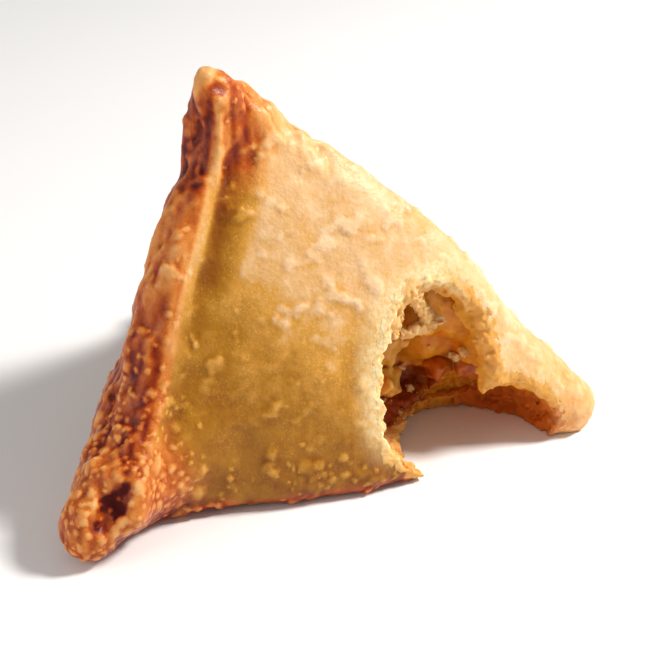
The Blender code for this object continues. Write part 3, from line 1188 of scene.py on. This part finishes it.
@dataclass
class Filling:
    """The mashed potato that shows in the bite."""

    form: PastryForm
    bite: Bite
    cell: float = 0.3
    gap: float = -0.1
    set_back: float = 1.0
    lumps: tuple = (
        ((68.5, 9.6, 30.0), (6.5, 5.2, 6.5)),
        ((65.5, 9.0, 24.5), (4.5, 4.4, 4.0)),
        ((73.5, 9.6, 27.0), (6.5, 6.4, 8.5)),
        ((71.0, 14.5, 19.0), (6.5, 6.0, 6.5)),
        ((78.0, 8.0, 19.0), (5.5, 6.5, 7.5)),
        ((60.5, 12.5, 25.0), (4.5, 4.5, 5.5)),
    )
    pits: tuple = (
        ((67.5, 12.0, 8.0), (5.0, 5.0, 3.2)),
        ((64.5, 13.5, 23.0), (2.4, 4.0, 2.4)),
        ((73.0, 10.0, 9.0), (1.2, 2.5, 1.0)),
        ((75.5, 9.0, 8.0), (1.0, 2.5, 0.8)),
    )
    blend: float = 1.4
    swell: tuple = (0.9, 8)
    lump: tuple = (0.4, 3)
    grain_height: float = 0.12
    crumbly_height: float = 0.45
    grain_size: float = 1.3
    noise: Noise = field(default_factory=lambda: Noise(SEED + 2))
    finish: MashedPotato = field(default_factory=MashedPotato)

    def distance(self, where: Array) -> Array:
        """Distance to the filling round the bite."""
        inside = self.form.inside(where, self.form.wall + self.gap)
        mass = smooth_max(inside, self.bite.around(where) + self.gap, 1.0)
        wall = self.set_back - self.bite.clean(where)
        for centre, half_axes in self.lumps:
            wall = smooth_min(wall, egg_distance(where, centre, half_axes), self.blend)
        for centre, half_axes in self.pits:
            wall = smooth_max(wall, -egg_distance(where, centre, half_axes), self.blend * 0.6)
        near = np.abs(wall) < 4
        at = where[near]
        crumbly = rise(14, 9, at[:, 2])
        grain = self.grain_height + self.crumbly_height * crumbly
        wall[near] += (self.swell[0] * self.noise.at(at, self.swell[1])
                       + self.lump[0] * self.noise.at(at, self.lump[1])
                       + grain * self.noise.at(at, self.grain_size, 2))
        return np.maximum(mass, wall)

    def build(self) -> bpy.types.Object:
        """Builds and dresses the filling."""
        middle, reach = np.asarray(self.bite.middle), np.asarray(self.bite.reach) + 2
        skin = Sampler(tuple(middle - reach), tuple(middle + reach), self.cell).skin(self.distance)
        LOG.info("filling skin: %d faces", len(skin.faces))
        mesh = skin.mesh("potato_filling")
        where = points_of(mesh)
        # Painted shade: darker low in the bite and in the first two pits.
        shade_low_and_in_pits = 0.45 * rise(12, 6, where[:, 2]) * rise(74, 64, where[:, 0])
        shade_low_and_in_pits += 0.42 * rise(15, 11, where[:, 2])
        for centre, half_axes in self.pits[:2]:
            shade_low_and_in_pits = np.maximum(shade_low_and_in_pits, 0.9 * rise(1.5, -0.5, egg_distance(where, centre, half_axes)))
        store(mesh, "shade_low_and_in_pits", shade_low_and_in_pits)
        store(mesh, "hollow", hollows(mesh))
        mesh.materials.append(self.finish.material())
        return new_object("potato_filling", mesh)


@dataclass(frozen=True)
class Morsel:
    """One cut piece of vegetable: its middle, half its sizes and how it is turned, in degrees."""

    middle: tuple
    half: tuple
    turn: tuple

    def distance(self, where: Array, corner: float) -> Array:
        """Distance to the piece, with its corners rounded."""
        turned = np.array(Euler(np.radians(self.turn)).to_matrix(), np.float32)
        local = np.abs((where - np.asarray(self.middle, np.float32)) @ turned)
        off = local - np.asarray(self.half, np.float32) + corner
        return np.linalg.norm(np.maximum(off, 0), axis=1) + np.minimum(off.max(1), 0) - corner


@dataclass
class Morsels:
    """All the pieces of one kind of vegetable."""

    kind: MorselKind
    pieces: tuple
    corner: float = 0.8
    cell: float = 0.25
    margin: float = 1.5
    unevenness: float = 0.75
    unevenness_size: float = 3.0
    noise: Noise = field(default_factory=lambda: Noise(SEED + 6))

    def distance(self, where: Array) -> Array:
        """Distance to the nearest piece, with a slightly uneven surface."""
        nearest = np.full(len(where), np.inf, np.float32)
        for piece in self.pieces:
            nearest = np.minimum(nearest, piece.distance(where, self.corner))
        return nearest + self.unevenness * self.noise.at(where, self.unevenness_size, 2)

    def build(self) -> bpy.types.Object:
        """Builds and dresses the pieces."""
        middles = np.array([piece.middle for piece in self.pieces])
        reach = max(max(piece.half) for piece in self.pieces) * 1.8 + self.margin
        sampler = Sampler(tuple(middles.min(0) - reach), tuple(middles.max(0) + reach), self.cell)
        mesh = sampler.skin(self.distance).mesh(self.kind.value)
        store(mesh, "hollow", hollows(mesh))
        mesh.materials.append(MORSEL_FINISHES[self.kind].material())
        return new_object(self.kind.value, mesh)


class Crumbling(Growth):
    """Scatters small ragged crumbs over a surface where its crumb_bed attribute is high."""

    def __init__(self, material: bpy.types.Material, seed: int) -> None:
        """Builds the tree."""
        super().__init__("crumbling")
        density = self.input("Crumbs per square metre", 1.3e6)
        spacing = self.input("Spacing", 0.5 * MM)
        smallest = self.input("Smallest radius", 0.15 * MM)
        largest = self.input("Largest radius", 0.75 * MM)
        draw = self.input("Seed", seed, "NodeSocketInt")
        spots = self.scatter("crumb_bed", spacing, density, draw)
        grain = self.wire("GeometryNodeMeshIcoSphere", None, {"Radius": 1.0, "Subdivisions": 2}, "Mesh")
        bump = self.wire("ShaderNodeTexNoise", None, {"Scale": 1.6, "Detail": 1.0})
        push = self.vector("SCALE", self.wire("GeometryNodeInputNormal"), (bump - 0.5) * 2.0)
        grain = self.wire("GeometryNodeSetPosition", None, {"Geometry": grain, "Offset": push})
        chance = self.wire("FunctionNodeRandomValue", {"data_type": "FLOAT"},
                           {2: 0.0, 3: 1.0, "Seed": draw}, 1)
        size = smallest + (largest - smallest) * chance ** 3.0
        turn = self.wire("FunctionNodeRandomValue", {"data_type": "FLOAT_VECTOR"},
                         {1: (6.28, 6.28, 6.28), "Seed": draw}, 0)
        placed = self.wire("GeometryNodeInstanceOnPoints", None,
                           {"Points": spots, "Instance": grain, "Rotation": turn, "Scale": size})
        self.finish(placed, material)


# ---- The studio ----

@dataclass(frozen=True)
class Lamp:
    """A soft square light that points at the samosa's middle, in millimetres and watts."""

    name: str
    place: tuple
    size: float
    watts: float
    colour: tuple
    aim: tuple = (0, 0, 30)

    def hang(self) -> None:
        """Adds the light to the scene."""
        light = bpy.data.lights.new(self.name, "AREA")
        light.size = self.size * MM
        light.energy = self.watts
        light.color = self.colour
        lamp = new_object(self.name, light)
        lamp.location = Vector(self.place) * MM
        lamp.rotation_mode = "QUATERNION"
        lamp.rotation_quaternion = (Vector(self.aim) * MM - lamp.location).to_track_quat("-Z", "Y")


@dataclass(frozen=True)
class Studio:
    """A pale floor, soft light and the camera."""

    camera_place: tuple = (-61.4, -236.9, 181.9)
    azimuth: float = -24.0
    elevation: float = 30.0
    lens: float = 100.0
    floor_size: float = 4.0
    floor_colours: tuple = ((0.92, 0.92, 0.92, 1.0), (0.9, 0.9, 0.9, 1.0))
    key: Lamp = Lamp("key", (340, -140, 410), 110, 3.6, (1.0, 0.97, 0.93))
    fill: Lamp = Lamp("fill", (-420, -40, 190), 300, 0.7, (1.0, 0.96, 0.92))
    sky_strength: float = 0.31

    def floor(self) -> None:
        """A wide pale floor."""
        bpy.ops.mesh.primitive_plane_add(size=self.floor_size)
        floor = bpy.context.object
        floor.name = "studio_floor"
        graph = ShaderGraph("studio_floor")
        graph.feed("Base Color", graph.mix(graph.noise(40, 2), *self.floor_colours))
        graph.feed("Roughness", 0.9)
        floor.data.materials.append(graph.material)

    def light(self) -> None:
        """The key light from high on the right, a weak one from the left and a pale sky that fills."""
        self.key.hang()
        self.fill.hang()
        world = bpy.data.worlds.new("studio")
        world.use_nodes = True
        sky = world.node_tree.nodes["Background"]
        sky.inputs["Color"].default_value = (1, 1, 1, 1)
        sky.inputs["Strength"].default_value = self.sky_strength
        bpy.context.scene.world = world
        bpy.context.scene.view_settings.view_transform = "Standard"

    def camera(self) -> None:
        """The camera, looking a little down on the samosa's front from its left."""
        data = bpy.data.cameras.new("camera")
        data.lens = self.lens
        data.clip_start = 0.01
        camera = new_object("camera", data)
        camera.location = (Vector(self.camera_place) - Vector(ORIGIN)) * MM
        turn, tilt = np.radians(self.azimuth), np.radians(self.elevation)
        back = Vector((np.sin(turn) * np.cos(tilt), -np.cos(turn) * np.cos(tilt), np.sin(tilt)))
        camera.rotation_mode = "QUATERNION"
        camera.rotation_quaternion = (-back).to_track_quat("-Z", "Y")
        bpy.context.scene.camera = camera

    def build(self) -> None:
        """Sets up the whole studio."""
        self.floor()
        self.light()
        self.camera()


CARROTS = (
    Morsel((71.3, 10.2, 12.4), (3.0, 2.0, 1.7), (10, -8, 30)),
    Morsel((76.4, 7.8, 12.8), (3.0, 2.6, 2.2), (-10, 12, 55)),
    Morsel((78.8, 5.4, 13.4), (2.2, 1.8, 1.8), (20, 0, 15)),
)
POTATOES = (
    Morsel((60.3, 10.0, 19.0), (2.4, 2.4, 3.2), (22, 24, 20)),
    Morsel((59.6, 9.3, 12.0), (2.8, 2.4, 2.3), (-25, 30, 35)),
)


def crumbs_on(filling: bpy.types.Object, edge: bpy.types.Object) -> bpy.types.Object:
    """Scatters crumbs of dough over the filling's open face.

    Args:
        filling: The dressed filling.
        edge: The torn edge, whose finish the crumbs take.

    Returns:
        The crumbs.
    """
    mesh = filling.data.copy()
    where = points_of(mesh)
    open_face = rise(2.6, 1.6, Bite().clean(where)) * rise(18, 14, where[:, 2])
    patches = rise(0.0, 0.5, Noise(SEED + 8).at(where, 4, 2))
    store(mesh, "crumb_bed", 0.6 * open_face * patches)
    store(mesh, "soaked", np.full(len(where), 0.6))
    store(mesh, "steeped_and_shaded", np.full(len(where), 0.2))
    crumbs = new_object("dough_crumbs", mesh)
    Crumbling(edge.data.materials[0], SEED).run(crumbs)
    return crumbs


def main() -> None:
    """Builds every piece, puts it on the samosa's body and reports it."""
    logging.basicConfig(level=logging.INFO, format="%(name)s: %(message)s")
    form, bite = PastryForm(), Bite()
    Studio().build()
    crust = Crust(form, bite)
    dough = crust.build()
    potato = Filling(form, bite)
    edge = TornEdge(crust, potato).build()
    filling = potato.build()
    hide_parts("crust")
    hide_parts("filling")
    pieces = [
        (dough, "crust"), (edge, "crust"), (filling, "filling"),
        (crumbs_on(filling, edge), "crust"),
        (Morsels(MorselKind.CARROT, CARROTS).build(), "filling"),
        (Morsels(MorselKind.POTATO, POTATOES).build(), "filling"),
    ]
    for piece, slot in pieces:
        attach(piece, ROOT)
        LOG.info("%s: %d faces", piece.name, len(piece.data.polygons))


if __name__ == "__main__":
    main()
